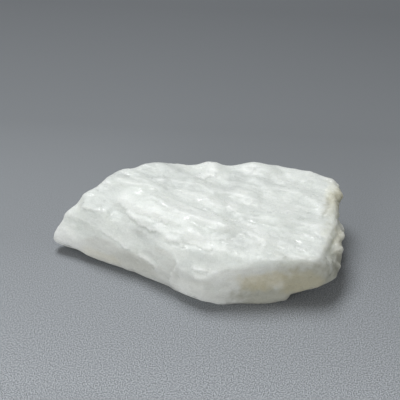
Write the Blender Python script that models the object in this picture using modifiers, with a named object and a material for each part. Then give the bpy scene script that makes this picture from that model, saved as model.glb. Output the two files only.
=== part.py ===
"""Rough moonstone: one broken slab of milky feldspar, about 52 mm long, lying on its own small flat spot.

The slab is shaped the way it broke. A block is cut on the planes of its faces, the breaks that bite
deeper are taken out of it, and then the surface is worked: the cleavage top steps down over ragged
flakes, the walls show the ends of the layers, and the right-hand end is a rough break of rounded lobes.

Sizes and places below are millimetres, which MM turns into Blender's metres. +Z is up and X runs along
the slab, its pointed end at -X. A direction is an azimuth, anticlockwise from +X, and an elevation
above the horizontal, both in degrees.
"""

import math

import bmesh
import bpy
from mathutils import Matrix, Vector, noise

MM = 0.001

STONE_NAME = "rough_moonstone"
BLOCK_SIDE = 90.0
VOXEL = 0.32
TRIANGLES = 10200
BLOCK_WEAR_PASSES = 4
RELIEF_WEAR_PASSES = 1
FOOT_SNAP = 0.08

# The faces the slab broke on: which way each one looks, and a point on it.
FACES = {
    "cleavage top": (312, 85.7, (5.2, 1.5, 10.8)),
    "front of the top": (276, 79, (3, -8, 9.9)),
    "front brow": (262, 57, (7, -10.6, 9.15)),
    "front shoulder": (250, 48, (3.1, -9.2, 9.85)),
    "front shoulder, right": (271, 32, (12, -11.4, 8.9)),
    "front wall": (272, 12, (8, -12.5, 5)),
    "front wall, low": (277, 2, (8, -12.9, 2)),
    "front wall, right": (284, 6, (19.6, -11.6, 5)),
    "front wall, left": (241, 4, (-2.5, -11.2, 3)),
    "front wall, middle": (258, 5, (2, -13.2, 3)),
    "tip slope": (238, 67, (-20.8, 2.7, 8.75)),
    "tip end": (198, 8, (-26.6, 1, 4.5)),
    "tip end, under": (215, -32, (-26.4, -0.4, 1.6)),
    "back left bevel": (151, 57, (-17.2, 8.1, 11.5)),
    "back left wall": (127, 4, (-21.8, 5.55, 6)),
    "back left corner": (118, 8, (-16.2, 10.6, 8)),
    "back corner": (104, 12, (-10, 12.6, 8)),
    "back wall": (91, 9, (5, 14.3, 7)),
    "back right wall": (73, 10, (19, 12.95, 8)),
    "back right corner": (36, 14, (26.9, 12.1, 7)),
    "right end, upper": (351, 42, (24.6, -1.6, 8.8)),
    "right end, upper front": (335, 40, (21.9, -6.5, 9.75)),
    "right end": (353, 0, (26.1, 0, 5)),
    "right end, under": (352, -38, (25.4, 0, 2.8)),
    "front right corner": (318, 2, (24.1, -9.6, 5)),
    "front right corner, lower": (300, -24, (23.5, -11.3, 3.3)),
    "underside, left": (190, -87, (-14, 0, 0.35)),
    "underside, front": (240, -42, (-3.2, -10.0, 1.3)),
    "underside, foot": (276, -34, (8, -13.05, 0.9)),
    "underside, back": (95, -70, (0, 6.5, 0.8)),
    "underside, right": (12, -77, (12, 2, 0.6)),
    "underside, back left": (112, -55, (-14, 7, 0.9)),
}

# Breaks that bite into the block. Each is the space taken out: the planes that bound it, looking out of it.
BREAKS = {
    "front left bevel": [
        (60, -29, (-9.6, -3.85, 8.3)),
        (52, -22, (-6.0, -7.4, 7.15)),
        (18, 0, (-3.5, -10.2, 4)),
    ],
    "long left wall": [
        (71, -11, (-21, 0, 4)),
        (62, -8, (-12.6, -4.0, 3.5)),
        (57, 0, (-6, -8.4, 2.5)),
        (18, 0, (-3.5, -10.2, 4)),
    ],
    "hollow under the long left wall": [
        (63, 42, (-11, -5.2, 0.9)),
        (18, 0, (-3.6, -10.2, 3)),
    ],
    "undercut of the right end": [
        (190, 8, (15.6, -12, 1.6)),
        (165, 74, (19, -11, 2.7)),
        (90, 0, (20, -2, 2)),
    ],
    "notch in the right end": [
        (171, 11, (24.7, 0.4, 8.5)),
        (212, -34, (24.7, 0.4, 8.5)),
    ],
}

# Flakes of the top, each a layer that rises gently and ends in a broken edge: the middle of the edge, its
# strike, its half length, the thickness at the edge and how far back the flake begins. The low side is to
# the right of the strike.
FLAKES = {
    "ridge, outer": ((-8.6, -2.4), -38, 9.5, 0.55, 5.0),
    "ridge, middle": ((-5.4, -2.6), -34, 9.0, 0.50, 4.0),
    "ridge, inner": ((-2.0, -1.8), -28, 10.0, 0.50, 4.5),
    "front": ((5.0, -5.4), -20, 9.0, 0.45, 4.0),
    "middle": ((8.0, -0.8), -25, 9.5, 0.50, 4.5),
    "right": ((16.8, -2.6), -14, 6.5, 0.40, 4.5),
    "long back": ((1.6, 5.4), -17, 11.0, 0.45, 4.0),
    "back right": ((15.4, 5.8), -22, 8.0, 0.45, 3.5),
    "back left": ((-10.4, 6.2), -12, 5.5, 0.40, 3.0),
    "tip": ((-18.6, 1.8), -26, 3.4, 0.55, 3.0),
}
FLAKE_EDGE = 0.6
FLAKE_RAGGED = 1.2

# Hollows and swellings of the top: middle, radius along and across the grain, and rise.
SWELLS = {
    "back left crown": ((-7.6, 11.6), 5.4, 3.0, 0.70),
    "back left dip": ((-0.8, 12.0), 3.4, 3.0, -0.80),
    "back chip": ((4.0, 11.9), 2.6, 2.0, 0.25),
    "back dip": ((5.6, 12.6), 2.6, 3.2, -0.45),
    "back right chip": ((11.8, 12.0), 4.6, 2.2, 0.80),
    "middle dip": ((3.4, 7.6), 4.5, 1.7, -0.30),
    "front block crown": ((5.5, -6.8), 5.5, 2.6, 0.35),
    "dent behind the tip": ((-22.2, 4.6), 2.4, 1.8, -1.00),
}

# Creases between the lobes of the right-hand end: place along Y at CREASE_LEVEL, depth and width. They
# slant towards the back on their way down.
END_CREASES = {
    "upper": (7.6, 0.35, 1.8),
    "behind the notch": (5.2, 0.45, 2.4),
    "under the notch": (-2.9, 0.55, 1.6),
    "low": (-6.6, 0.50, 1.5),
}
CREASE_LEVEL = 6.0
CREASE_SLANT = 1.0

# Rounded lobes of the right-hand end: how wide one is, how far it stands out of the crease round it, and
# how far the creases lie inside the end's plane.
LOBE_SIZE = 3.6
LOBE_HEIGHT = 1.1
LOBE_SET_BACK = 0.6
CREASE_TO_CROWN = 0.7

# Low relief: the height of a wave, and its length along the grain, across it and through the slab.
GRAIN_AZIMUTH = -24
TOP_WAVES = [(0.22, 7.0, 1.6, 3.0), (0.12, 3.0, 0.9, 2.0)]
WALL_WAVES = [(0.22, 6.0, 6.0, 1.3)]
UNDER_WAVES = [(0.2, 6.0, 2.0, 3.0)]

# Low relief that has no grain, as height and size: over the whole stone, and more of it on the walls.
BROAD_WAVE = (0.3, 6.25)
WALL_BROAD_WAVE = (0.3, 6.25)
WALL_SMALL_WAVE = (0.16, 1.82)
SEED = Vector((17.3, 4.1, 9.7))

# Where each kind of relief starts and where it is full: by how far the surface looks up or down, by the
# height above the foot for the flakes of the top, and by X for the right-hand end.
LOOKS_UP = (0.45, 0.85)
LOOKS_DOWN = (0.6, 0.9)
FLAKE_HEIGHTS = (3.0, 8.0)
END_PLACES = (20.5, 24.0)

# A flake's edge wanders in long waves and in short ones a quarter as high.
LONG_WANDER = 4.55
SHORT_WANDER = 1.67
FLAKE_TAPER = 0.7
SWELL_CROWN = 0.3


def direction(azimuth, elevation):
    a = math.radians(azimuth)
    e = math.radians(elevation)
    return Vector((math.cos(e) * math.cos(a), math.cos(e) * math.sin(a), math.sin(e)))


def smooth_step(low, high, value):
    t = min(1.0, max(0.0, (value - low) / (high - low)))
    return t * t * (3 - 2 * t)


def along_and_across(x, y, azimuth):
    """Splits a place on the plan into its parts along a direction and to the left of it."""
    a = math.radians(azimuth)
    return x * math.cos(a) + y * math.sin(a), -x * math.sin(a) + y * math.cos(a)


def clear_scene():
    for obj in list(bpy.data.objects):
        bpy.data.objects.remove(obj)


def collection(name):
    made = bpy.data.collections.new(name)
    bpy.context.scene.collection.children.link(made)
    return made


def cut_block(name, planes, group):
    """A cube cut down to what lies behind every plane, each given as azimuth, elevation and point."""
    bm = bmesh.new()
    bmesh.ops.create_cube(bm, size=BLOCK_SIDE * MM)
    for azimuth, elevation, point in planes:
        cut = bmesh.ops.bisect_plane(
            bm,
            geom=bm.verts[:] + bm.edges[:] + bm.faces[:],
            plane_co=Vector(point) * MM,
            plane_no=direction(azimuth, elevation),
            clear_outer=True,
        )
        rim = [g for g in cut["geom_cut"] if isinstance(g, bmesh.types.BMEdge)]
        bmesh.ops.edgeloop_fill(bm, edges=rim)
    bmesh.ops.recalc_face_normals(bm, faces=bm.faces[:])
    mesh = bpy.data.meshes.new(name)
    bm.to_mesh(mesh)
    bm.free()
    block = bpy.data.objects.new(name, mesh)
    group.objects.link(block)
    return block


def apply_modifiers(obj):
    """Replaces the object's mesh with the one that its modifiers make."""
    bpy.context.view_layer.update()
    evaluated = obj.evaluated_get(bpy.context.evaluated_depsgraph_get())
    made = bpy.data.meshes.new_from_object(evaluated)
    made.name = obj.name
    obj.modifiers.clear()
    old = obj.data
    obj.data = made
    bpy.data.meshes.remove(old)


def take_out_breaks(stone, group):
    for name, planes in BREAKS.items():
        cutter = cut_block(name, planes, group)
        cutter.hide_render = True
        cutter.display_type = "WIRE"
        cut = stone.modifiers.new(name, "BOOLEAN")
        cut.operation = "DIFFERENCE"
        cut.solver = "EXACT"
        cut.object = cutter


def turn(mesh, degrees):
    mesh.transform(Matrix.Rotation(math.radians(degrees), 4, "Z"))


def even_mesh(stone, wear_passes):
    """Remeshes the stone into small even faces in rows along the grain, and wears its edges a little."""
    turn(stone.data, -GRAIN_AZIMUTH)
    remesh = stone.modifiers.new("even faces", "REMESH")
    remesh.mode = "VOXEL"
    remesh.voxel_size = VOXEL * MM
    wear = stone.modifiers.new("worn edges", "SMOOTH")
    wear.factor = 0.5
    wear.iterations = wear_passes
    apply_modifiers(stone)
    turn(stone.data, GRAIN_AZIMUTH)


def flake_rise(x, y, flake):
    """Rise of one flake: nothing behind it, its full thickness at the broken edge, and nothing beyond."""
    middle, strike, half_length, thickness, reach = flake
    along, left = along_and_across(x - middle[0], y - middle[1], strike)
    wander = noise.noise(Vector((along / LONG_WANDER, middle[0], middle[1])))
    wander += noise.noise(Vector((along / SHORT_WANDER, middle[1], middle[0]))) / 4
    left += FLAKE_RAGGED * wander
    ramp = 1 - smooth_step(0, reach, left)
    edge = smooth_step(-FLAKE_EDGE, 0, left)
    ends = 1 - smooth_step(FLAKE_TAPER, 1, abs(along) / half_length)
    return thickness * ramp * edge * ends


def top_relief(x, y):
    """Rise of the cleavage top above its plane."""
    rise = sum(flake_rise(x, y, flake) for flake in FLAKES.values())
    for middle, length, breadth, height in SWELLS.values():
        along, across = along_and_across(x - middle[0], y - middle[1], GRAIN_AZIMUTH)
        distance = math.hypot(along / length, across / breadth)
        rise += height * (1 - smooth_step(SWELL_CROWN, 1, distance))
    return rise


def end_creases(p):
    """Depth of the creases of the right-hand end at p."""
    y = p.y + CREASE_SLANT * (p.z - CREASE_LEVEL)
    return sum(depth * (1 - smooth_step(0, width / 2, abs(y - place)))
               for place, depth, width in END_CREASES.values())


def wave(p, height, size):
    return height * noise.noise(p / size + SEED)


def grain_waves(p, layers):
    """The sum of several layers of noise drawn out along the grain."""
    along, across = along_and_across(p.x, p.y, GRAIN_AZIMUTH)
    total = 0.0
    for height, length, breadth, depth in layers:
        cell = Vector((along / length, across / breadth, p.z / depth))
        total += height * noise.noise(cell + SEED)
    return total


def end_lobes(p):
    """Relief of the rough right-hand end: lobes with creases between them."""
    nearest, next_nearest = noise.voronoi(p / LOBE_SIZE + SEED)[0][:2]
    lobe = smooth_step(0, CREASE_TO_CROWN, next_nearest - nearest)
    return LOBE_HEIGHT * lobe - LOBE_SET_BACK - end_creases(p)


def surface_shift(p, normal):
    """How far the surface at p moves out along its normal, in millimetres."""
    top = smooth_step(*LOOKS_UP, normal.z)
    under = smooth_step(*LOOKS_DOWN, -normal.z)
    wall = max(0.0, 1 - top - under)
    end = wall * smooth_step(*END_PLACES, p.x)
    shift = wave(p, *BROAD_WAVE)
    shift += top * grain_waves(p, TOP_WAVES)
    shift += wall * (grain_waves(p, WALL_WAVES) + wave(p, *WALL_BROAD_WAVE) + wave(p, *WALL_SMALL_WAVE))
    shift += under * grain_waves(p, UNDER_WAVES)
    if end > 0:
        shift += end * end_lobes(p)
    return shift


def work_surface(stone):
    mesh = stone.data
    normals = [vertex.normal.copy() for vertex in mesh.vertices]
    for vertex, normal in zip(mesh.vertices, normals):
        p = vertex.co / MM
        lift = top_relief(p.x, p.y) * smooth_step(*FLAKE_HEIGHTS, p.z)
        vertex.co += normal * surface_shift(p, normal) * MM
        vertex.co.z += lift * MM
    mesh.update()


def thin_out(stone):
    """Merges the small faces of the flat places, down to the number of triangles the stone may have."""
    stone.data.calc_loop_triangles()
    thin = stone.modifiers.new("fewer faces", "DECIMATE")
    thin.ratio = TRIANGLES / len(stone.data.loop_triangles)
    apply_modifiers(stone)


def flatten_foot(stone):
    """Cuts the flat spot that the stone lies on, at z = 0."""
    bm = bmesh.new()
    bm.from_mesh(stone.data)
    cut = bmesh.ops.bisect_plane(
        bm,
        geom=bm.verts[:] + bm.edges[:] + bm.faces[:],
        plane_co=(0, 0, 0),
        plane_no=(0, 0, -1),
        dist=FOOT_SNAP * MM,
        use_snap_center=True,
        clear_outer=True,
    )
    rim = [g for g in cut["geom_cut"] if isinstance(g, bmesh.types.BMEdge)]
    bmesh.ops.holes_fill(bm, edges=rim)
    bmesh.ops.triangulate(bm, faces=bm.faces[:])
    bmesh.ops.recalc_face_normals(bm, faces=bm.faces[:])
    bm.to_mesh(stone.data)
    bm.free()


def centre_on_plan(stone):
    """Puts the middle of the stone's length and breadth over the origin, and leaves its height alone."""
    for axis in (0, 1):
        places = [v.co[axis] for v in stone.data.vertices]
        middle = (min(places) + max(places)) / 2
        for vertex in stone.data.vertices:
            vertex.co[axis] -= middle


def moonstone_material():
    made = bpy.data.materials.new("milky_feldspar")
    made.use_nodes = True
    shader = made.node_tree.nodes["Principled BSDF"]
    shader.inputs["Base Color"].default_value = (0.80, 0.83, 0.81, 1)
    shader.inputs["Roughness"].default_value = 0.42
    shader.inputs["Metallic"].default_value = 0.0
    shader.inputs["Subsurface Weight"].default_value = 0.6
    shader.inputs["Subsurface Scale"].default_value = 2.0 * MM
    return made


def main():
    clear_scene()
    parts = collection("rough moonstone")
    cutters = collection("cutters")
    stone = cut_block(STONE_NAME, FACES.values(), parts)
    take_out_breaks(stone, cutters)
    apply_modifiers(stone)
    even_mesh(stone, BLOCK_WEAR_PASSES)
    work_surface(stone)
    even_mesh(stone, RELIEF_WEAR_PASSES)
    thin_out(stone)
    flatten_foot(stone)
    centre_on_plan(stone)
    stone.data.materials.clear()
    stone.data.materials.append(moonstone_material())


main()
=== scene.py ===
import math

import bpy
import numpy as np
from mathutils import Matrix, Vector, noise


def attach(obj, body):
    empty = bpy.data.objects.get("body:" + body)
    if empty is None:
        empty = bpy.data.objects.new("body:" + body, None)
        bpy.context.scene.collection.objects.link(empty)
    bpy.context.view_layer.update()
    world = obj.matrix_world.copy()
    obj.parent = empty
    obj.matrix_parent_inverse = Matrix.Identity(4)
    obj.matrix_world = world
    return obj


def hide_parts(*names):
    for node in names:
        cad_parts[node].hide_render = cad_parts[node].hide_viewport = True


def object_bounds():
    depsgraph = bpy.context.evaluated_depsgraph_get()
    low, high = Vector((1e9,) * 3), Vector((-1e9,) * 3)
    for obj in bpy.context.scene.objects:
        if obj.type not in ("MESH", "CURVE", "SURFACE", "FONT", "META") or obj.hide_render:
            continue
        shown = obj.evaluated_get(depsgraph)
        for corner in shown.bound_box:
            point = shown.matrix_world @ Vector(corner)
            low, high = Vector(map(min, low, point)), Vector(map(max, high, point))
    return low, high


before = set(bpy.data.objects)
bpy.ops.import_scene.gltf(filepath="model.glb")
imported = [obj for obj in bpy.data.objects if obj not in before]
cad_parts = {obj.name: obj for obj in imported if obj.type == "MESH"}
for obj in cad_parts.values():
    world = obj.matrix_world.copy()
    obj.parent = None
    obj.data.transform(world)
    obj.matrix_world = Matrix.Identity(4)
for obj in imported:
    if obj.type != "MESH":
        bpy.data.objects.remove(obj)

MM = 0.001
NODE = "rough_moonstone"

# The camera, in metres, at the photograph's viewing angle: 38 degrees above the horizon, looking along +Y.
CAMERA_EYE = (0.00028, -0.15251, 0.13176)
CAMERA_TARGET = (0.00028, 0.01612, 0.0)
CAMERA_LENS = 100
CAMERA_SENSOR = 36
CAMERA_CLIP_START = 0.01

# The floor's half side in metres. Its grey is painted darker away from the camera, and a little to the
# right, as a painted falloff of the light: how far away, in metres, and the colour there.
FLOOR_HALF_SIDE = 0.9
FLOOR_FALLOFF_TONES = [
    (-0.033, (0.530, 0.558, 0.600, 1)),
    (0.002, (0.318, 0.335, 0.360, 1)),
    (0.040, (0.190, 0.201, 0.217, 1)),
    (0.093, (0.128, 0.136, 0.148, 1)),
]
FLOOR_LIGHT_TURN = 0.1

# The floor's grit: its scale per metre, its noise from dark to light, where along Y it is least and most,
# in metres, and how dark its grains are there.
FLOOR_GRIT_SCALE = 5200.0
FLOOR_GRIT_RANGE = (0.3, 0.7)
FLOOR_GRIT_PLACES = (0.05, -0.04)
FLOOR_GRIT_TONES = ((0.985, 0.985, 0.985, 1), (0.22, 0.22, 0.22, 1))
FLOOR_ROUGHNESS = 0.85

# Lights: place and target in metres, size, power and colour. The world fills in the shadows.
LIGHTS = {
    "key": ((-0.076, 0.147, 0.408), (0, 0, 0), 0.23, 1.46, (0.965, 0.99, 1.0)),
    "fill": ((-0.13, -0.24, 0.085), (0, 0, 0), 0.16, 0.30, (0.99, 1.0, 0.985)),
}
WORLD_COLOUR = (1.0, 0.99, 0.935, 1)
WORLD_STRENGTH = 0.25

# The fine copy of the solid: the size of its faces in millimetres, and how often they are smoothed.
VOXEL = 0.21
SMOOTH_PASSES = 4
SMOOTH_FACTOR = 0.5
NORMAL_PASSES = 4

# The grain of the cleavage runs along this azimuth on the plan, in degrees, and bends as a parabola of X
# in millimetres.
GRAIN_AZIMUTH = -24
GRAIN_BEND = 0.0055
SEED = Vector((3.7, 41.3, 12.9))

# Parts of the stone: how far the surface looks up, down or to the front where each starts and is full.
TOP_UP = (0.55, 0.85)
UNDER_DOWN = (0.5, 0.9)
CALM_FORWARD = (0.1, 0.5)
BEVEL_UP = (0.2, 0.45)

# The rough right-hand end starts at this X, in millimetres, which changes between two places along Y. Its
# border fades and is ragged, it stops short of the front edge, and it is worn round by blurring it.
RIM_BACK = 22.8
RIM_FRONT = 21.4
RIM_TURNS = (-2.0, -7.0)
RIM_FADE = (-0.5, 0.7)
RIM_NOISE = ((1.2, (2.2, 2.2, 2.2), 31.0), (0.5, (0.8, 0.8, 0.8), 33.0))
END_FRONT = (-12.5, -10.0)
END_WEAR_PASSES = 22

# The relief keeps off the lowest part of the stone, in millimetres, so that its foot stays flat.
FOOT_HEIGHTS = (0.0, 0.4)

cad_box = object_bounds()


def smooth_step(low, high, value):
    t = np.clip((value - low) / (high - low), 0, 1)
    return t * t * (3 - 2 * t)


def coordinates(mesh):
    """The places of the mesh's vertices, in millimetres."""
    flat = np.empty(len(mesh.vertices) * 3)
    mesh.vertices.foreach_get("co", flat)
    return flat.reshape(-1, 3) / MM


def set_coordinates(mesh, places):
    mesh.vertices.foreach_set("co", (places * MM).ravel())
    mesh.update()


def vertex_normals(mesh):
    flat = np.empty(len(mesh.vertices) * 3)
    mesh.vertex_normals.foreach_get("vector", flat)
    return flat.reshape(-1, 3)


def neighbour_mean(mesh, values):
    """The mean of a value over each vertex's neighbours."""
    ends = np.empty(len(mesh.edges) * 2, dtype=np.int64)
    mesh.edges.foreach_get("vertices", ends)
    ends = ends.reshape(-1, 2)
    total = np.zeros_like(values)
    count = np.zeros(len(values))
    for a, b in ((0, 1), (1, 0)):
        np.add.at(total, ends[:, a], values[ends[:, b]])
        np.add.at(count, ends[:, a], 1)
    return total / (count[:, None] if values.ndim > 1 else count)


def spread(mesh, values, passes):
    """A value blurred over the mesh."""
    for _ in range(passes):
        values = 0.5 * values + 0.5 * neighbour_mean(mesh, values)
    return values


def along_grain(places):
    """Turns places so that X runs along the grain."""
    a = math.radians(GRAIN_AZIMUTH)
    turned = places.copy()
    turned[:, 0] = places[:, 0] * math.cos(a) + places[:, 1] * math.sin(a)
    turned[:, 1] = -places[:, 0] * math.sin(a) + places[:, 1] * math.cos(a)
    return turned


def grain_places(places):
    """Places along and across the grain, which turns a little from end to end of the stone."""
    bent = places.copy()
    bent[:, 1] -= GRAIN_BEND * places[:, 0] ** 2
    return along_grain(bent)


def noise_field(places, sizes, shift):
    """Smooth noise, from about -1 to 1, in cells of these sizes."""
    cells = places / np.array(sizes) + np.array(SEED) + shift
    return np.array([noise.noise(c) for c in cells.tolist()])


def noise_sum(places, layers):
    """The sum of smooth noises, each with its height, its cells' sizes and its shift."""
    return sum(height * noise_field(places, sizes, shift) for height, sizes, shift in layers)


def varied(places, mean, reach, sizes, shift):
    """Smooth noise around a mean."""
    return mean + reach * noise_field(places, sizes, shift)


def lobe_field(places, size, shift):
    """Rounded lobes: 1 in the middle of a cell, falling towards the creases between them."""
    cells = places / size + np.array(SEED) + shift
    return np.array([1 - noise.voronoi(c)[0][0] ** 2 for c in cells.tolist()])


def remeshed_copy(node):
    """A fine even copy of the node's mesh, in rows along the grain."""
    stone = bpy.data.objects.new("moonstone", node.data.copy())
    bpy.context.scene.collection.objects.link(stone)
    stone.data.materials.clear()
    turn = Matrix.Rotation(math.radians(GRAIN_AZIMUTH), 4, "Z")
    stone.data.transform(turn.inverted())
    remesh = stone.modifiers.new("fine faces", "REMESH")
    remesh.mode = "VOXEL"
    remesh.voxel_size = VOXEL * MM
    remesh.adaptivity = 0
    smooth = stone.modifiers.new("soft facets", "SMOOTH")
    smooth.factor = SMOOTH_FACTOR
    smooth.iterations = SMOOTH_PASSES
    bpy.context.view_layer.update()
    graph = bpy.context.evaluated_depsgraph_get()
    made = bpy.data.meshes.new_from_object(stone.evaluated_get(graph))
    made.name = "moonstone"
    old = stone.data
    stone.modifiers.clear()
    stone.data = made
    bpy.data.meshes.remove(old)
    made.transform(turn)
    return stone


# Ledges of the broken surface, along paths in millimetres on the stone. Before its path each has the drop
# on the path's right-hand side and the lip on its left, as shares of LEDGE_HEIGHT, how far the drop and the
# lip reach, and how white the edge is: the white of broken stone, and along the raised lip a painted
# highlight.
LEDGES = {
    "ridge": (0.75, 0.3, 1.2, 1.6, 1.0, (
        (-14.6, 2.5, 10.9), (-13.7, 1.1, 10.6), (-12.5, -0.5, 10.4), (-11.4, -2.0, 10.0),
        (-10.2, -3.3, 9.7), (-8.7, -4.4, 9.5), (-7.3, -5.3, 9.8), (-6.1, -6.1, 10.2))),
    "ridge, inner": (0.4, 0.15, 0.8, 1.8, 1.0, (
        (-11.7, -0.4, 10.8), (-10.2, -1.6, 10.8), (-9.0, -2.0, 11.1), (-7.7, -3.1, 10.9),
        (-6.1, -4.2, 10.9), (-4.8, -4.3, 11.4))),
    "ridge chip": (0.15, 0.12, 0.5, 0.8, 0.9, (
        (-10.2, -2.2, 10.6), (-8.9, -3.4, 10.5), (-7.7, -3.6, 10.7), (-7.0, -4.7, 10.4))),
    "grey hollow": (0.2, 0.05, 0.8, 0.8, 0.3, (
        (-7.0, -4.5, 10.5), (-6.1, -5.7, 10.4), (-4.0, -6.5, 10.6), (-2.5, -6.7, 11.0))),
    "white chip": (0.45, 0.25, 0.7, 0.9, 0.9, (
        (-6.1, -6.5, 9.9), (-5.6, -7.4, 9.5), (-4.4, -7.8, 9.7), (-3.0, -8.5, 9.4), (-1.6, -9.1, 9.2))),
    "pointed flake": (0.3, 0.25, 0.9, 2.0, 1.0, (
        (-3.0, -6.6, 10.9), (-2.2, -7.7, 10.2), (-1.0, -8.5, 9.8), (0.6, -9.3, 9.6), (1.9, -10.1, 9.6),
        (2.9, -9.6, 9.9))),
    "small chips": (0.15, 0.1, 0.5, 0.6, 0.8, (
        (2.9, -10.0, 9.8), (3.9, -10.4, 9.7), (5.1, -10.2, 9.7))),
    "left streak": (0.1, 0.06, 0.5, 0.7, 0.8, (
        (-12.3, 7.1, 12.1), (-10.5, 6.8, 12.1), (-8.7, 5.7, 12.1))),
    "left chip": (0.15, 0.08, 0.5, 0.8, 0.7, (
        (-7.5, 6.6, 12.0), (-6.4, 6.0, 11.8), (-5.7, 6.7, 12.0))),
    "long streak": (0.14, 0.08, 0.7, 1.0, 0.6, (
        (-6.3, 4.1, 11.7), (-4.7, 3.9, 11.4), (-3.3, 2.6, 11.5), (-1.5, 1.7, 11.3), (0.2, 1.8, 11.3))),
    "back white": (0.28, 0.14, 0.9, 2.2, 1.0, (
        (-0.9, 8.2, 11.7), (1.1, 8.0, 11.4), (2.6, 8.5, 11.3), (4.0, 9.1, 11.1))),
    "back streak": (0.14, 0.06, 0.6, 0.8, 0.6, (
        (1.0, 7.7, 11.4), (2.6, 6.5, 11.2), (4.0, 6.3, 10.9))),
    "centre edge": (0.14, 0.08, 0.7, 1.0, 0.5, (
        (-0.8, 0.5, 11.2), (0.9, -0.6, 10.9), (2.5, -1.7, 10.9), (3.7, -1.6, 10.8))),
    "left lip": (0.35, 0.2, 1.0, 1.0, 1.0, (
        (4.8, 1.4, 11.1), (5.6, -0.7, 11.0), (6.8, -1.4, 10.9))),
    "diagonal edge": (0.4, 0.2, 1.0, 1.0, 1.0, (
        (7.9, 9.3, 10.7), (9.3, 9.8, 11.0), (10.6, 10.4, 11.7), (11.9, 11.3, 11.7))),
    "hollow": (0.22, 0.04, 1.4, 1.0, 0.2, (
        (11.8, 3.3, 10.5), (10.0, 4.1, 11.0), (7.9, 4.7, 11.2), (6.0, 6.1, 11.0))),
    "right band": (0.2, 0.1, 0.8, 1.4, 0.6, (
        (12.5, 7.9, 10.8), (15.5, 7.0, 10.8), (18.3, 7.9, 10.6), (21.7, 8.9, 10.3))),
    "right streak": (0.12, 0.06, 0.5, 0.7, 0.6, (
        (14.9, 5.0, 10.8), (16.6, 4.2, 10.7), (18.1, 4.4, 10.8))),
    "triangle": (0.12, 0.06, 0.6, 1.4, 0.8, (
        (7.0, 2.9, 11.1), (8.5, 0.8, 10.7), (10.5, 2.1, 10.8))),
    "warm edge": (0.12, 0.06, 0.7, 1.2, 0.4, (
        (11.1, 1.0, 10.5), (13.3, -1.3, 10.8), (15.7, 0.0, 10.2))),
    "pit": (0.28, 0.04, 0.8, 0.6, 0.1, (
        (10.6, -3.4, 10.4), (9.4, -3.7, 10.3), (8.2, -3.0, 10.4), (7.7, -1.9, 10.8))),
    "long ledge": (0.3, 0.16, 1.2, 1.4, 0.8, (
        (6.7, -5.6, 10.8), (8.4, -6.6, 10.4), (10.1, -7.7, 10.3), (11.8, -8.6, 9.9))),
    "front ledge": (0.2, 0.1, 0.8, 1.0, 0.5, (
        (2.8, -7.8, 10.3), (5.0, -8.6, 10.1), (7.0, -9.5, 9.8), (9.0, -9.9, 9.7))),
    "middle ledge": (0.24, 0.12, 0.9, 1.0, 0.7, (
        (8.8, -4.7, 10.2), (10.5, -6.0, 10.2), (12.5, -7.0, 10.1), (14.7, -7.0, 9.9))),
    "right ledge": (0.2, 0.08, 0.7, 1.2, 0.8, (
        (18.1, -4.9, 9.7), (20.2, -5.2, 9.7), (20.8, -6.7, 9.7), (22.0, -6.3, 9.6))),
    "right rim": (0.3, 0.15, 1.0, 1.2, 1.0, (
        (21.5, -1.6, 9.9), (22.3, -0.1, 10.0), (22.9, 2.6, 9.9), (22.7, 4.5, 10.1))),
    "front edge": (0.18, 0.1, 0.8, 1.0, 0.3, (
        (10.7, -10.3, 9.5), (12.9, -10.9, 9.2), (15.4, -11.2, 9.0), (17.9, -11.5, 9.1),
        (20.1, -11.1, 9.2))),
    "bevel line": (0.6, 0.1, 0.7, 0.5, 0.6, (
        (-21.1, 2.5, 9.1), (-19.6, 1.4, 9.3), (-18.1, 0.8, 9.6), (-16.3, 0.2, 9.6))),
    "tip flakes": (0.14, 0.08, 0.8, 0.8, 0.4, (
        (-23.8, 2.6, 7.0), (-22.1, 1.6, 6.9), (-20.4, 0.4, 7.2), (-18.7, -0.5, 7.8))),
    "tip flake": (0.14, 0.1, 0.5, 0.6, 0.5, (
        (-18.5, 0.0, 8.4), (-17.2, -0.9, 8.2), (-15.9, -1.5, 8.2))),
    "wall top": (0.12, 0.7, 0.5, 0.5, 1.0, (
        (-17.9, -1.3, 7.4), (-16.5, -2.3, 6.9), (-14.7, -3.4, 6.4), (-12.9, -4.6, 5.6),
        (-10.9, -5.7, 5.2))),
    "wall top, right": (0.15, 0.8, 0.5, 0.6, 1.0, (
        (-10.9, -5.6, 5.3), (-9.3, -6.9, 4.9), (-8.1, -8.0, 4.6), (-6.7, -9.0, 3.9))),
    "bevel, low line": (0.1, 0.06, 0.5, 0.4, 0.5, (
        (-10.2, -5.5, 6.1), (-8.4, -6.9, 6.2), (-6.6, -8.3, 6.5))),
    "front chip": (0.05, 1.2, 0.5, 0.6, 1.0, (
        (-1.5, -11.3, 7.3), (-0.3, -12.2, 7.0), (0.9, -12.6, 7.1), (2.1, -12.8, 7.3))),
    "front line": (0.2, 0.15, 0.5, 0.4, 0.7, (
        (-1.5, -12.4, 5.4), (0.2, -13.3, 5.7), (2.3, -13.3, 6.0))),
    "back left chip": (0.2, 0.12, 0.5, 0.6, 0.9, (
        (-17.2, 6.8, 11.2), (-15.9, 6.0, 11.4))),
    "crack": (0.3, 0.5, 0.4, 0.45, 1.0, (
        (-3.0, -10.0, 7.8), (-3.8, -10.6, 6.7), (-4.6, -10.2, 4.8), (-4.9, -10.2, 3.1),
        (-4.8, -10.3, 1.9), (-3.7, -11.8, 2.0))),
    "wall arc": (0.06, 0.04, 0.4, 0.3, 0.5, (
        (-14.0, -4.4, 3.8), (-13.1, -4.7, 3.2), (-11.9, -5.3, 3.4))),
    "wall line": (0.05, 0.04, 0.4, 0.3, 0.2, (
        (-19.3, -1.5, 4.8), (-17.1, -2.8, 5.0), (-15.2, -3.7, 5.0))),
    "front right line": (0.08, 0.06, 0.5, 0.4, 0.3, (
        (11.3, -13.1, 3.9), (13.5, -13.0, 3.4), (15.6, -12.6, 3.5))),
}

LEDGE_HEIGHT = 0.42
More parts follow.
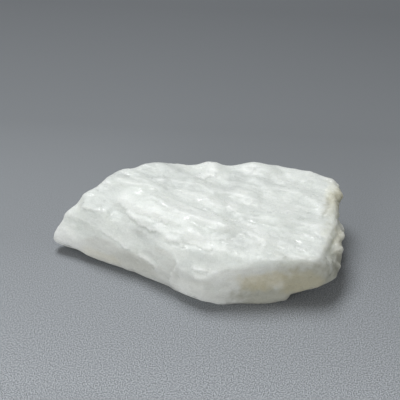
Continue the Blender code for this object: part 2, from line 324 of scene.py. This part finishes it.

# The half width of the step between a ledge's two sides, in millimetres; the share of its length that each
# end tapers off in; how fast a deeper drop makes the stone below it clear and grey, which is partly painted
# shade under the step, and how clear at most; and how far round its path a ledge is worked out, in
# millimetres.
LEDGE_STEP = 0.14
LEDGE_TAPER = 0.18
CLEAR_PER_DROP = 3.0
LEDGE_CLEARNESS = 0.7
LEDGE_MARGIN = 5

# The paths wobble by noise of these heights and sizes, in millimetres, each with its shift.
LEDGE_WOBBLE = ((0.38, 1.3, 1), (0.20, 0.5, 5))

# A ledge's broken edge comes and goes, and its lip changes in width: the mean, how far it varies, the
# sizes of the noise's cells in millimetres, and its shift. The edge's white, partly a painted highlight, is
# stronger near the path, by EDGE_GAIN, and fades out with the lip.
EDGE_BREAKS = (0.55, 0.9, (1.1, 0.35, 0.5), 14.0)
LIP_WIDTHS = (1.0, 0.7, (1.4, 1.4, 1.4), 17.0)
EDGE_GAIN = 0.4
EDGE_FADE = (0.1, 0.9)

# Flat flakes: the sizes of their cells in millimetres, how far their borders wave, as a share of a cell,
# and their shift. The walls show the ends of the layers.
BIG_FLAKES = ((5.2, 1.9, 4.0), 0.5, 0.0)
SMALL_FLAKES = ((2.0, 0.7, 1.5), 0.6, 30.0)
LAYERS = ((4.5, 1.1, 5.0), 0.5, 60.0)
END_BREAKS = ((1.8, 1.8, 1.4), 0.5, 90.0)

# How much height counts in the cells of the top's flakes, next to the plan.
FLAKE_FLATNESS = 0.25

# The heights of the small relief, in millimetres, and the share of the top's flakes that the underside has.
# For the walls' layers and waves the second number is what the calm walls lose of the first.
BIG_FLAKE_HEIGHT = 0.07
SMALL_FLAKE_HEIGHT = 0.05
UNDER_SHARE = 0.7
LAYER_HEIGHTS = (0.09, 0.065)
WAVE_HEIGHTS = (0.10, 0.05)
WAVE_SIZES = (3.0, 3.0, 1.6)
ROUGH_HEIGHT = 0.025
ROUGH_SIZES = (0.6, 0.6, 0.6)
CHIP_HEIGHT = 0.08

# The right-hand end: the sizes and shifts of its lobes and grains, the heights of its lobes, grains and
# flat breaks, how far all of it is set back, and the share of it that the top loses.
LOBES = (2.7, 0.0)
GRAINS = (0.9, 5.0)
LOBE_HEIGHT = 0.11
GRAIN_HEIGHT = 0.15
BREAK_HEIGHT = 0.22
END_SETBACK = 0.12
END_TOP_LOSS = 0.7

# The share of the milkiness that comes from the big flakes. The small ones have the rest.
BIG_FLAKE_TONE = 0.6


def zones(places, normals):
    """How far each vertex belongs to each part of the stone. The calm walls are the smooth front ones."""
    x, y = places[:, 0], places[:, 1]
    up = normals[:, 2]
    top = smooth_step(*TOP_UP, up)
    under = smooth_step(*UNDER_DOWN, -up)
    wall = np.clip(1 - top - under, 0, 1)
    rim = RIM_BACK + (RIM_FRONT - RIM_BACK) * smooth_step(*RIM_TURNS, y)
    past = x + noise_sum(places, RIM_NOISE) - rim
    end = smooth_step(*RIM_FADE, past) * (1 - under) * smooth_step(*END_FRONT, y)
    calm = wall * (1 - end) * smooth_step(*CALM_FORWARD, -normals[:, 1])
    bevel = calm * smooth_step(*BEVEL_UP, up)
    return {"top": top, "wall": wall, "under": under, "end": end, "calm": calm, "bevel": bevel}


def nearest_on_path(places, path):
    """The nearest point of a path to each place, the path's direction there, and how far along it is."""
    path = np.array(path)
    spans = path[1:] - path[:-1]
    lengths = np.linalg.norm(spans, axis=1)
    starts = np.concatenate([[0], np.cumsum(lengths)])
    best = np.full(len(places), 1e9)
    point = np.zeros_like(places)
    tangent = np.zeros_like(places)
    along = np.zeros(len(places))
    for k, span in enumerate(spans):
        t = np.clip((places - path[k]) @ span / lengths[k] ** 2, 0, 1)
        q = path[k] + t[:, None] * span
        d = np.linalg.norm(places - q, axis=1)
        nearer = d < best
        best[nearer] = d[nearer]
        point[nearer] = q[nearer]
        tangent[nearer] = span / lengths[k]
        along[nearer] = (starts[k] + t[nearer] * lengths[k]) / starts[-1]
    return point, tangent, along, best


def ledges(places, normals):
    """Relief, whiteness and clearness of the named ledges; the whiteness is partly a painted highlight on
    the lips and the clearness partly painted shade below the drops.
    """
    relief = np.zeros(len(places))
    white = np.zeros(len(places))
    clear = np.zeros(len(places))
    ragged = places.copy()
    for k in range(3):
        for height, size, shift in LEDGE_WOBBLE:
            ragged[:, k] += height * noise_field(places, (size, size, size), 10.0 * k + shift)
    broken = varied(grain_places(places), *EDGE_BREAKS)
    wide = varied(places, *LIP_WIDTHS)
    for drop, lip, low_reach, high_reach, whiteness, path in LEDGES.values():
        box = np.array(path)
        near = np.all((ragged > box.min(0) - LEDGE_MARGIN) & (ragged < box.max(0) + LEDGE_MARGIN), axis=1)
        point, tangent, along, distance = nearest_on_path(ragged[near], path)
        side = np.cross(tangent, normals[near])
        signed = np.copysign(distance, np.einsum("ij,ij->i", ragged[near] - point, side))
        low = smooth_step(-LEDGE_STEP, LEDGE_STEP, signed)
        taper = smooth_step(0, LEDGE_TAPER, along) * smooth_step(1, 1 - LEDGE_TAPER, along)
        fall = np.exp(-np.maximum(signed, 0) / low_reach)
        rise = np.exp(np.minimum(signed, 0) / (high_reach * wide[near]))
        relief[near] += LEDGE_HEIGHT * taper * ((1 - low) * lip * rise - low * drop * fall)
        # The white on the lip is broken stone and partly a painted highlight; the grey below a drop is
        # partly painted shade under the step.
        edge = taper * whiteness * (1 - low) * smooth_step(*EDGE_FADE, rise)
        white[near] = np.maximum(white[near], edge * np.clip(broken[near] + EDGE_GAIN * rise, 0, 1))
        clear[near] = np.maximum(clear[near], min(1, CLEAR_PER_DROP * drop) * taper * low * fall)
    return relief, white, clear


def flake_cells(places, sizes, warp, shift):
    """Flat flakes: each cell's height, its tilt and its own random number, with ragged borders."""
    wave = np.stack([noise_field(places, sizes, shift + 20 + k) for k in range(2)], 1)
    cells = places / np.array(sizes) + np.array(SEED) + shift
    cells[:, :2] += warp * wave
    height = np.zeros(len(places))
    tone = np.zeros(len(places))
    for k, cell in enumerate(cells.tolist()):
        middle = noise.voronoi(cell)[1][0]
        own = noise.cell_vector(middle * 7.3)
        away = Vector(cell) - middle
        height[k] = own.x - 0.5 + (own.y - 0.5) * away.x + (own.z - 0.2) * away.y
        tone[k] = noise.cell(middle * 3.1 + Vector((5, 5, 5)))
    return height, tone


def fine_relief(places, normals, zone):
    """Relief along the normals, in millimetres, and how milky, white and clear the stone is there; the
    ledges' white is partly painted highlight and their clearness partly painted shade.
    """
    grain = grain_places(places)
    flat = grain * (1, 1, FLAKE_FLATNESS)
    big, big_tone = flake_cells(flat, *BIG_FLAKES)
    small, small_tone = flake_cells(flat, *SMALL_FLAKES)
    top = BIG_FLAKE_HEIGHT * big + SMALL_FLAKE_HEIGHT * small
    layers, layer_tone = flake_cells(grain[:, [0, 2, 1]], *LAYERS)
    wall = (LAYER_HEIGHTS[0] - LAYER_HEIGHTS[1] * zone["calm"]) * layers
    wall += (WAVE_HEIGHTS[0] - WAVE_HEIGHTS[1] * zone["calm"]) * noise_field(places, WAVE_SIZES, 8.0)
    relief = (zone["top"] + UNDER_SHARE * zone["under"]) * top + zone["wall"] * (1 - zone["end"]) * wall
    relief += ROUGH_HEIGHT * noise_field(places, ROUGH_SIZES, 1.0)
    cut, white, clear = ledges(places, normals)
    flake_tone = BIG_FLAKE_TONE * big_tone + (1 - BIG_FLAKE_TONE) * small_tone
    tone = (zone["top"] + zone["under"]) * flake_tone + zone["wall"] * layer_tone
    return relief + cut, tone, white, clear


def end_relief(places, zone):
    """Lobes, small flat breaks and grains of the rough right-hand end."""
    relief = np.zeros(len(places))
    near = zone["end"] > 0
    lobes = lobe_field(places[near], *LOBES)
    grains = lobe_field(places[near], *GRAINS)
    breaks, _ = flake_cells(places[near], *END_BREAKS)
    height = LOBE_HEIGHT * lobes + GRAIN_HEIGHT * grains + BREAK_HEIGHT * breaks - END_SETBACK
    relief[near] = zone["end"][near] * (1 - END_TOP_LOSS * zone["top"][near]) * height
    return relief


def set_attribute(mesh, name, values):
    layer = mesh.attributes.new(name, "FLOAT", "POINT")
    layer.data.foreach_set("value", values.astype(np.float32))


# Patches of the stone, in millimetres: middle, radius along and across the grain and upwards, strength.
# Windows are grey and clear, clouds are white, shades are painted shade, dark where the stone lies in
# shade, and stains are the colour of sand. The clouds on the thin tip and on the back of the right-hand end
# are painted light.
WINDOWS = {
    "back left": ((-6.5, 8.4, 12), (7.5, 3.4, 3), 1.0),
    "back left corner": ((-6.5, 10.8, 12), (2.6, 1.6, 3), 1.0),
    "back left facet": ((-18.0, 4.8, 10), (5.4, 4.6, 3), 1.0),
    "back left facet, top": ((-14.6, 8.2, 11), (3.0, 2.4, 3), 1.0),
    "middle back": ((0.5, 6.0, 11), (4.5, 1.8, 3), 0.6),
    "dip": ((6.6, 7.6, 11), (2.0, 5.2, 3), 1.0),
    "right back": ((11.8, 6.8, 11), (4.6, 1.8, 3), 0.8),
    "right": ((18.0, 1.2, 10), (5.0, 4.6, 3), 0.2),
    "under the triangle": ((10.8, -0.4, 10.6), (2.2, 0.9, 3), 0.4),
    "pit": ((9.2, -2.6, 10), (1.6, 1.0, 3), 0.9),
    "beside the pointed flake": ((5.9, -8.2, 10), (3.6, 1.2, 2), 1.0),
    "under the pointed flake": ((0.8, -10.6, 8.8), (3.2, 1.4, 1.6), 0.9),
    "front left facet": ((-2.2, -11.3, 6.6), (1.8, 2.0, 2.2), 0.9),
    "front right": ((16.2, -8.3, 10), (5.0, 1.5, 3), 0.65),
    "tip ledge": ((-19.0, 0.2, 9), (2.6, 0.9, 2), 0.9),
    "ridge foot": ((-10.0, -4.6, 9.0), (5.5, 2.2, 2.2), 0.8),
}
CLOUDS = {
    "ridge": ((-12.6, 2.2, 11), (2.4, 1.2, 3), 0.8),
    "left": ((-9.4, -0.6, 11), (4.2, 1.6, 3), 0.65),
    "left centre": ((-2.0, 2.6, 11), (3.0, 1.4, 3), 0.5),
    "centre": ((-1.0, -2.6, 11), (5.6, 2.4, 3), 0.75),
    "pointed flake": ((-0.4, -7.3, 10), (3.3, 1.4, 3), 1.0),
    "beside the point": ((3.4, -9.6, 9.8), (1.6, 0.5, 1.5), 0.9),
    "back": ((2.4, 9.7, 11), (3.0, 1.7, 3), 1.0),
    "triangle": ((8.4, 2.3, 11), (2.4, 1.5, 3), 0.8),
    "middle right": ((13.0, 0.2, 10.5), (4.0, 1.6, 3), 0.6),
    "lip": ((5.9, 0.2, 11), (1.2, 1.0, 3), 1.0),
    "right rim": ((22.0, 1.0, 10), (1.2, 3.2, 3), 0.9),
    "right": ((21.0, -4.6, 10), (2.4, 1.6, 3), 0.8),
    "long ledge": ((8.4, -4.9, 10), (4.8, 1.5, 3), 1.0),
    "front": ((9.8, -9.0, 9.8), (2.4, 1.6, 2), 0.6),
    "back right": ((16.0, 7.8, 11), (5.0, 1.2, 3), 0.7),
    # Painted light: the back of the right-hand end, which faces away from the key light, lightened.
    "right end, back": ((24.8, 6.6, 9), (1.5, 2.6, 3), 0.7),
    "back left edge": ((-16.6, 6.4, 11), (1.4, 1.0, 3), 0.8),
    "diagonal": ((9.4, 10.5, 11), (2.2, 1.1, 3), 1.0),
    # Painted light: the thin tip whitened as if lit through.
    "tip": ((-23.5, 0.0, 3.0), (3.6, 3.0, 3.0), 1.0),
    "front wall, left": ((4.2, -13.2, 6.4), (4.4, 2.4, 1.7), 0.9),
    "front wall, left edge": ((-2.6, -12.2, 4.6), (1.4, 1.6, 3.0), 0.5),
    "front wall, foot": ((8.4, -13.4, 1.6), (1.5, 1.2, 0.8), 0.8),
}
# Painted shade: darker olive patches low on the front wall and on its right, on the right-hand end, and on
# the right of the long left wall.
PAINTED_SHADES = {
    "front wall, right": ((19.0, -12.0, 3.5), (8.0, 4.0, 5.0), 1.0),
    "front wall, low": ((12.2, -13.0, 1.0), (10.0, 4.5, 4.2), 0.95),
    "front wall, top right": ((17.5, -12.2, 7.6), (7.0, 2.2, 1.7), 0.45),
    "right end, low": ((25.5, -4.0, 3.5), (3.0, 6.0, 3.0), 0.35),
    "right end, top": ((24.4, 3.2, 9.2), (1.8, 6.4, 1.6), 0.75),
    "right end, front low": ((24.6, -9.6, 4.4), (3.0, 3.2, 3.2), 1.0),
    "long wall, right": ((-10.5, -6.0, 3.0), (5.0, 3.0, 2.6), 0.35),
}
STAINS = {
    "front": ((11.8, -12.9, 5.2), (8.0, 3.6, 1.9), 1.0),
    "front, right": ((17.0, -12.6, 4.5), (6.0, 3.0, 2.6), 0.8),
    "right end, back": ((24.5, 4.8, 7.5), (2.4, 4.6, 3.5), 0.6),
    "right end": ((25.0, -4.0, 6.0), (2.6, 4.0, 3.5), 0.6),
    "left wall foot": ((-18.0, -3.2, 2.2), (4.5, 2.5, 1.2), 0.5),
}

# Places of the right-hand end that stand out or lie back, with millimetres for their strength.
SWELLS = {
    "back": ((25.3, 6.6, 8.8), (1.2, 1.2, 1.6), 0.45),
    "middle": ((24.5, 1.6, 8.8), (1.6, 2.2, 2.2), 0.60),
    "front": ((24.4, -6.0, 7.0), (1.2, 1.2, 1.6), 0.35),
}
DENTS = {
    "back corner": ((25.6, 8.8, 9.4), (1.2, 1.0, 1.4), 0.40),
    "middle": ((25.3, -1.0, 8.0), (1.1, 1.1, 1.6), 0.40),
    "front foot": ((24.8, -9.3, 5.4), (1.4, 1.4, 1.6), 0.35),
}

# Small raised glossy chips on the stone's edges and flats, painted white as glints: their middles, in
# millimetres.
GLINT_CHIPS = [
    (16.5, 10.1, 10.7), (9.5, 1.7, 10.8), (1.5, 2.1, 11.4), (2.4, -1.9, 11.0), (0.3, -3.2, 11.6),
    (12.8, -6.0, 10.1), (18.6, -6.2, 9.8), (-5.5, -6.7, 9.6), (-16.8, 6.9, 11.3), (-22.4, 1.2, 5.8),
    (-23.9, 1.3, 5.0), (-9.3, -6.7, 5.0), (-7.2, -8.4, 3.8), (-8.6, -7.2, 4.7), (24.3, 9.0, 10.2),
    (-10.1, -6.2, 5.1),
]
CHIP_RADIUS = (0.65, 0.4, 0.55)

# The noise and the fade of the patches' edges, as shares of their radius.
PATCH_NOISE = ((0.35, (2.6, 1.4, 2.0), 9.0), (0.22, (1.0, 0.5, 0.8), 4.0))
PATCH_FADE = (0.5, 1.3)


def patches(places, named):
    """The strongest of these patches at each place, ragged at their edges."""
    ragged = noise_sum(along_grain(places), PATCH_NOISE)
    total = np.zeros(len(places))
    for middle, radius, strength in named.values():
        away = along_grain(places - middle)
        distance = np.linalg.norm(away / radius, axis=1) + ragged
        total = np.maximum(total, strength * (1 - smooth_step(*PATCH_FADE, distance)))
    return total


def build_stone():
    stone = remeshed_copy(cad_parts[NODE])
    mesh = stone.data
    places = coordinates(mesh)
    normals = spread(mesh, vertex_normals(mesh), NORMAL_PASSES)
    normals /= np.linalg.norm(normals, axis=1)[:, None]
    zone = zones(places, normals)
    rounded = spread(mesh, places, END_WEAR_PASSES)
    places += (zone["end"] * (1 - zone["top"]))[:, None] * (rounded - places)
    relief, tone, white, clear = fine_relief(places, normals, zone)
    relief += end_relief(places, zone)
    glint_chips = patches(places, {k: (middle, CHIP_RADIUS, 1.0) for k, middle in enumerate(GLINT_CHIPS)})
    relief += CHIP_HEIGHT * glint_chips + patches(places, SWELLS) - patches(places, DENTS)
    # The chips' white is a painted glint.
    white = np.maximum(white, glint_chips)
    relief *= smooth_step(*FOOT_HEIGHTS, places[:, 2])
    relief = spread(mesh, relief, 1)
    moved = places + normals * relief[:, None]
    low, high = (np.array(corner) / MM for corner in cad_box)
    moved = np.clip(moved, low, high)
    set_coordinates(mesh, moved)
    mesh.polygons.foreach_set("use_smooth", [True] * len(mesh.polygons))
    set_attribute(mesh, "tone", tone)
    set_attribute(mesh, "white", white)
    set_attribute(mesh, "clear", np.maximum(LEDGE_CLEARNESS * clear, patches(places, WINDOWS)))
    set_attribute(mesh, "cloud", patches(places, CLOUDS))
    set_attribute(mesh, "stain", patches(places, STAINS))
    set_attribute(mesh, "painted_shade", patches(places, PAINTED_SHADES))
    set_attribute(mesh, "wall", zone["wall"] * (1 - zone["bevel"]))
    set_attribute(mesh, "end", zone["end"])
    set_attribute(mesh, "calm", zone["calm"])
    set_attribute(mesh, "chip", glint_chips)
    return stone


# Colours of the stone where it is least and most milky, on the top and on the walls. The walls' colours
# are a little darker and warmer than the top's: painted shade on the sides.
TOP_COLOURS = ((0.775, 0.805, 0.78, 1), (0.86, 0.88, 0.855, 1))
SHADED_WALL_COLOURS = ((0.755, 0.765, 0.735, 1), (0.845, 0.855, 0.825, 1))

# The colours laid over them, and the share of each where its attribute is full. The clear grey is partly
# painted shade under the ledges' drops, the white is partly a painted highlight on the ledges' lips and the
# chips and painted light on the tip and the right-hand end, and the shade colour is painted shade.
CLEAR_COLOUR = (0.615, 0.64, 0.63, 1)
WHITE_COLOUR, WHITE_SHARE = (0.93, 0.945, 0.93, 1), 0.62
END_COLOUR, END_SHARE = (0.835, 0.85, 0.775, 1), 0.7
PAINTED_SHADE_COLOUR, PAINTED_SHADE_SHARE = (0.44, 0.435, 0.36, 1), 0.8
STAIN_COLOUR, STAIN_SHARE = (0.66, 0.58, 0.35, 1), 0.45
SPECK_COLOUR = (0.90, 0.90, 0.90, 1)
PLAIN = (1, 1, 1, 1)

# How milky the stone is: the shares of the flakes' tone, the veils, the fibres and the facets, what is
# added to their sum, and the sums where it is least and most milky.
MILK_TONE = 0.24
MILK_VEIL = 0.45
MILK_FIBRES = 0.20
MILK_FACETS = 0.22
MILK_LIFT = 0.1
MILK_RANGE = (0.2, 0.8)

# The patterns' sizes in millimetres, along the grain and across it, or level and upwards for the stains,
# and the scale of the finest ones, per metre.
VEIL_SIZE = (3.6, 2.0)
FIBRE_SIZE = (1.5, 0.42)
FACET_SIZE = (1.1, 0.65)
STAIN_SIZE = (5.0, 1.3)
GLOSS_SCALE = 900.0
GRIT_SCALE = 2200.0
SPECK_SCALE = 4600.0

# The veils' noise where the clear colour is none and full, and where a cloud is. Then the noise of the
# stains' bands, and that of the specks.
CLEAR_VEIL = (0.9, 0.1)
CLOUD_VEIL = (0.2, 0.6)
STAIN_BANDS = (-0.3, 0.6)
SPECK_RANGE = (0.25, 0.75)

# The share of the fibres and facets that the calm walls lose.
CALM_LOSS = 0.65

# Roughness, what the noise adds to it and what glossy facets and chips take off. A facet is glossy by its
# random number.
ROUGHNESS = 0.36
ROUGHNESS_NOISE = 0.2
FACET_GLOSS = 0.24
CHIP_GLOSS = 0.2
GLOSSY_FACETS = (0.78, 0.95)

# How light goes through the stone, with the distance in millimetres.
IOR = 1.52
SUBSURFACE_WEIGHT = 0.72
SUBSURFACE_RADIUS = (1.0, 1.0, 0.95)
SUBSURFACE_SCALE = 3.8

# The bump: its strength, its depth in millimetres, and the shares of what makes it up.
BUMP_STRENGTH = 0.8
BUMP_DEPTH = 0.14
BUMP_FIBRES = 0.35
BUMP_FACETS = 0.8
BUMP_GLOSSY_FACETS = 1.2
BUMP_GRIT = 0.35
BUMP_SPECKS = 0.26


class Nodes:
    """A short way to add and join a material's nodes."""

    def __init__(self, tree):
        self.tree = tree

    def add(self, kind, **values):
        node = self.tree.nodes.new(kind)
        inputs = values.pop("inputs", {})
        for name, value in values.items():
            setattr(node, name, value)
        for name, value in inputs.items():
            self.put(node.inputs[name], value)
        return node

    def put(self, socket, value):
        if isinstance(value, bpy.types.NodeSocket):
            self.tree.links.new(value, socket)
        else:
            socket.default_value = value

    def math(self, operation, a, b=0.0):
        node = self.add("ShaderNodeMath", operation=operation)
        self.put(node.inputs[0], a)
        self.put(node.inputs[1], b)
        return node.outputs[0]

    def plus(self, a, b):
        return self.math("ADD", a, b)

    def minus(self, a, b):
        return self.math("SUBTRACT", a, b)

    def times(self, a, b):
        return self.math("MULTIPLY", a, b)

    def ramp(self, value, low, high, kind="SMOOTHSTEP"):
        """Runs from 0 at low to 1 at high."""
        node = self.add("ShaderNodeMapRange", interpolation_type=kind, clamp=True)
        self.put(node.inputs["Value"], value)
        self.put(node.inputs["From Min"], low)
        self.put(node.inputs["From Max"], high)
        return node.outputs["Result"]

    def mix(self, factor, a, b, blend="MIX"):
        node = self.add("ShaderNodeMix", data_type="RGBA", blend_type=blend)
        self.put(node.inputs[0], factor)
        self.put(node.inputs[6], a)
        self.put(node.inputs[7], b)
        return node.outputs[2]

    def bent(self, vector):
        """The grain turns a little from end to end of the stone."""
        split = self.add("ShaderNodeSeparateXYZ", inputs={"Vector": vector})
        rise = self.times(self.math("POWER", split.outputs[0], 2.0), GRAIN_BEND / MM)
        join = self.add("ShaderNodeCombineXYZ")
        self.put(join.inputs[0], split.outputs[0])
        self.put(join.inputs[1], self.minus(split.outputs[1], rise))
        self.put(join.inputs[2], split.outputs[2])
        return join.outputs[0]

    def stretched(self, vector, along, across):
        """Coordinates in units of these lengths, in millimetres, along and across the grain."""
        node = self.add("ShaderNodeMapping", vector_type="TEXTURE")
        self.put(node.inputs["Vector"], vector)
        self.put(node.inputs["Rotation"], (0, 0, math.radians(GRAIN_AZIMUTH)))
        self.put(node.inputs["Scale"], (along * MM, across * MM, across * MM))
        return node.outputs[0]

    def layered(self, vector, wide, thin):
        """Coordinates in units of these lengths, in millimetres, along level layers and through them."""
        node = self.add("ShaderNodeMapping", vector_type="TEXTURE")
        self.put(node.inputs["Vector"], vector)
        self.put(node.inputs["Scale"], (wide * MM, wide * MM, thin * MM))
        return node.outputs[0]

    def attribute(self, name):
        return self.add("ShaderNodeAttribute", attribute_name=name).outputs["Fac"]

    def facets(self, vector):
        """Small flat breaks, each leaning its own way: their height, and a random number for each."""
        cell = self.add("ShaderNodeTexVoronoi", inputs={"Vector": vector, "Scale": 1.0})
        away = self.add("ShaderNodeVectorMath", operation="SUBTRACT")
        self.put(away.inputs[0], vector)
        self.put(away.inputs[1], cell.outputs["Position"])
        lean = self.add("ShaderNodeVectorMath", operation="SUBTRACT")
        self.put(lean.inputs[0], cell.outputs["Color"])
        self.put(lean.inputs[1], (0.5, 0.5, 0.5))
        height = self.add("ShaderNodeVectorMath", operation="DOT_PRODUCT")
        self.put(height.inputs[0], away.outputs[0])
        self.put(height.inputs[1], lean.outputs[0])
        split = self.add("ShaderNodeSeparateColor")
        self.put(split.inputs[0], cell.outputs["Color"])
        return height.outputs["Value"], split.outputs[2]

    def noise(self, vector, scale=1.0, detail=4.0, roughness=0.5, distortion=0.0):
        node = self.add("ShaderNodeTexNoise")
        self.put(node.inputs["Vector"], vector)
        self.put(node.inputs["Scale"], scale)
        self.put(node.inputs["Detail"], detail)
        self.put(node.inputs["Roughness"], roughness)
        self.put(node.inputs["Distortion"], distortion)
        return node.outputs["Fac"]


def stone_colour(n, place, veil, fibres, specks, chance, lively):
    milk = n.plus(n.times(n.attribute("tone"), MILK_TONE), n.times(veil, MILK_VEIL))
    milk = n.plus(milk, n.times(n.minus(fibres, 0.5), n.times(lively, MILK_FIBRES)))
    milk = n.plus(milk, n.times(n.minus(chance, 0.5), n.times(lively, MILK_FACETS)))
    milk = n.ramp(n.plus(milk, MILK_LIFT), *MILK_RANGE)
    # The walls take the darker, warmer colours: painted shade.
    colour = n.mix(n.attribute("wall"), n.mix(milk, *TOP_COLOURS), n.mix(milk, *SHADED_WALL_COLOURS))
    # Clear grey: the stone's clear windows, and under the ledges' drops partly painted shade.
    clear = n.times(n.attribute("clear"), n.ramp(veil, *CLEAR_VEIL, "LINEAR"))
    colour = n.mix(clear, colour, CLEAR_COLOUR)
    cloud = n.times(n.attribute("cloud"), n.ramp(veil, *CLOUD_VEIL))
    # White: milky clouds and broken edges, partly painted highlights and painted light.
    white = n.math("MAXIMUM", n.attribute("white"), cloud)
    colour = n.mix(n.times(white, WHITE_SHARE), colour, WHITE_COLOUR)
    colour = n.mix(n.times(n.attribute("end"), END_SHARE), colour, END_COLOUR)
    # Painted shade: the shaded places turn a darker olive.
    colour = n.mix(n.times(n.attribute("painted_shade"), PAINTED_SHADE_SHARE), colour, PAINTED_SHADE_COLOUR)
    bands = n.noise(n.layered(place, *STAIN_SIZE), detail=3.0)
    stain = n.times(n.attribute("stain"), n.ramp(bands, *STAIN_BANDS))
    colour = n.mix(n.times(stain, STAIN_SHARE), colour, STAIN_COLOUR)
    speckled = n.mix(n.ramp(specks, *SPECK_RANGE, "LINEAR"), SPECK_COLOUR, PLAIN)
    return n.mix(1.0, colour, speckled, "MULTIPLY")


def stone_roughness(n, place, glossy):
    rough = n.plus(ROUGHNESS, n.times(n.noise(place, GLOSS_SCALE, detail=3.0), ROUGHNESS_NOISE))
    rough = n.minus(rough, n.times(glossy, FACET_GLOSS))
    return n.minus(rough, n.times(n.attribute("chip"), CHIP_GLOSS))


def stone_bump(n, place, fibres, specks, breaks, glossy, lively):
    facets = n.times(breaks, n.plus(BUMP_FACETS, n.times(glossy, BUMP_GLOSSY_FACETS)))
    height = n.times(n.plus(n.times(fibres, BUMP_FIBRES), facets), lively)
    height = n.plus(height, n.times(n.noise(place, GRIT_SCALE, detail=2.0), BUMP_GRIT))
    height = n.plus(height, n.times(specks, BUMP_SPECKS))
    bump = n.add("ShaderNodeBump")
    n.put(bump.inputs["Strength"], BUMP_STRENGTH)
    n.put(bump.inputs["Distance"], BUMP_DEPTH * MM)
    n.put(bump.inputs["Height"], height)
    return bump.outputs["Normal"]


def moonstone_material():
    material = bpy.data.materials.new("milky_feldspar")
    material.use_nodes = True
    shader = material.node_tree.nodes["Principled BSDF"]
    n = Nodes(material.node_tree)
    place = n.bent(n.add("ShaderNodeTexCoord").outputs["Object"])
    veil = n.noise(n.stretched(place, *VEIL_SIZE), detail=4.0, roughness=0.6, distortion=0.5)
    fibres = n.noise(n.stretched(place, *FIBRE_SIZE), detail=5.0, roughness=0.68, distortion=0.4)
    specks = n.noise(place, SPECK_SCALE, detail=1.0)
    breaks, chance = n.facets(n.stretched(place, *FACET_SIZE))
    glossy = n.ramp(chance, *GLOSSY_FACETS)
    lively = n.minus(1.0, n.times(n.attribute("calm"), CALM_LOSS))
    n.put(shader.inputs["Base Color"], stone_colour(n, place, veil, fibres, specks, chance, lively))
    n.put(shader.inputs["Roughness"], stone_roughness(n, place, glossy))
    n.put(shader.inputs["Normal"], stone_bump(n, place, fibres, specks, breaks, glossy, lively))
    n.put(shader.inputs["IOR"], IOR)
    n.put(shader.inputs["Subsurface Weight"], SUBSURFACE_WEIGHT)
    n.put(shader.inputs["Subsurface Radius"], SUBSURFACE_RADIUS)
    n.put(shader.inputs["Subsurface Scale"], SUBSURFACE_SCALE * MM)
    return material


def floor_material():
    material = bpy.data.materials.new("grey_paper")
    material.use_nodes = True
    shader = material.node_tree.nodes["Principled BSDF"]
    n = Nodes(material.node_tree)
    place = n.add("ShaderNodeTexCoord").outputs["Object"]
    split = n.add("ShaderNodeSeparateXYZ")
    n.put(split.inputs[0], place)
    away = n.plus(split.outputs[1], n.times(split.outputs[0], FLOOR_LIGHT_TURN))
    # Painted light falloff: the floor's grey darkens away from the camera and a little to the right.
    start, light = FLOOR_FALLOFF_TONES[0]
    for end, tone in FLOOR_FALLOFF_TONES[1:]:
        light = n.mix(n.ramp(away, start, end, "LINEAR"), light, tone)
        start = end
    grit = n.ramp(n.noise(place, FLOOR_GRIT_SCALE, detail=1.0), *FLOOR_GRIT_RANGE)
    dark = n.mix(n.ramp(split.outputs[1], *FLOOR_GRIT_PLACES), *FLOOR_GRIT_TONES)
    n.put(shader.inputs["Base Color"], n.mix(1.0, light, n.mix(grit, dark, PLAIN), "MULTIPLY"))
    n.put(shader.inputs["Roughness"], FLOOR_ROUGHNESS)
    return material


def build_floor():
    mesh = bpy.data.meshes.new("floor")
    half = FLOOR_HALF_SIDE
    corners = [(-half, -half, 0), (half, -half, 0), (half, half, 0), (-half, half, 0)]
    mesh.from_pydata(corners, [], [(0, 1, 2, 3)])
    mesh.materials.append(floor_material())
    floor = bpy.data.objects.new("floor", mesh)
    bpy.context.scene.collection.objects.link(floor)


def add_light(name, place, target, size, power, colour):
    lamp = bpy.data.lights.new(name, "AREA")
    lamp.shape = "DISK"
    lamp.size = size
    lamp.energy = power
    lamp.color = colour
    light = bpy.data.objects.new(name, lamp)
    light.location = place
    light.visible_camera = False
    light.rotation_euler = (Vector(target) - Vector(place)).to_track_quat("-Z", "Y").to_euler()
    bpy.context.scene.collection.objects.link(light)


def set_light():
    for name, values in LIGHTS.items():
        add_light(name, *values)
    world = bpy.data.worlds.new("studio")
    world.use_nodes = True
    background = world.node_tree.nodes["Background"]
    background.inputs["Color"].default_value = WORLD_COLOUR
    background.inputs["Strength"].default_value = WORLD_STRENGTH
    bpy.context.scene.world = world


def set_camera():
    data = bpy.data.cameras.new("camera")
    data.lens = CAMERA_LENS
    data.sensor_width = CAMERA_SENSOR
    data.clip_start = CAMERA_CLIP_START
    camera = bpy.data.objects.new("camera", data)
    camera.location = CAMERA_EYE
    view = Vector(CAMERA_TARGET) - Vector(CAMERA_EYE)
    camera.rotation_euler = view.to_track_quat("-Z", "Y").to_euler()
    bpy.context.scene.collection.objects.link(camera)
    bpy.context.scene.camera = camera


def main():
    set_camera()
    set_light()
    build_floor()
    stone = build_stone()
    stone.data.materials.append(moonstone_material())
    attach(stone, "root")
    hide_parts(NODE)
    bpy.context.scene.view_settings.view_transform = "Standard"


main()
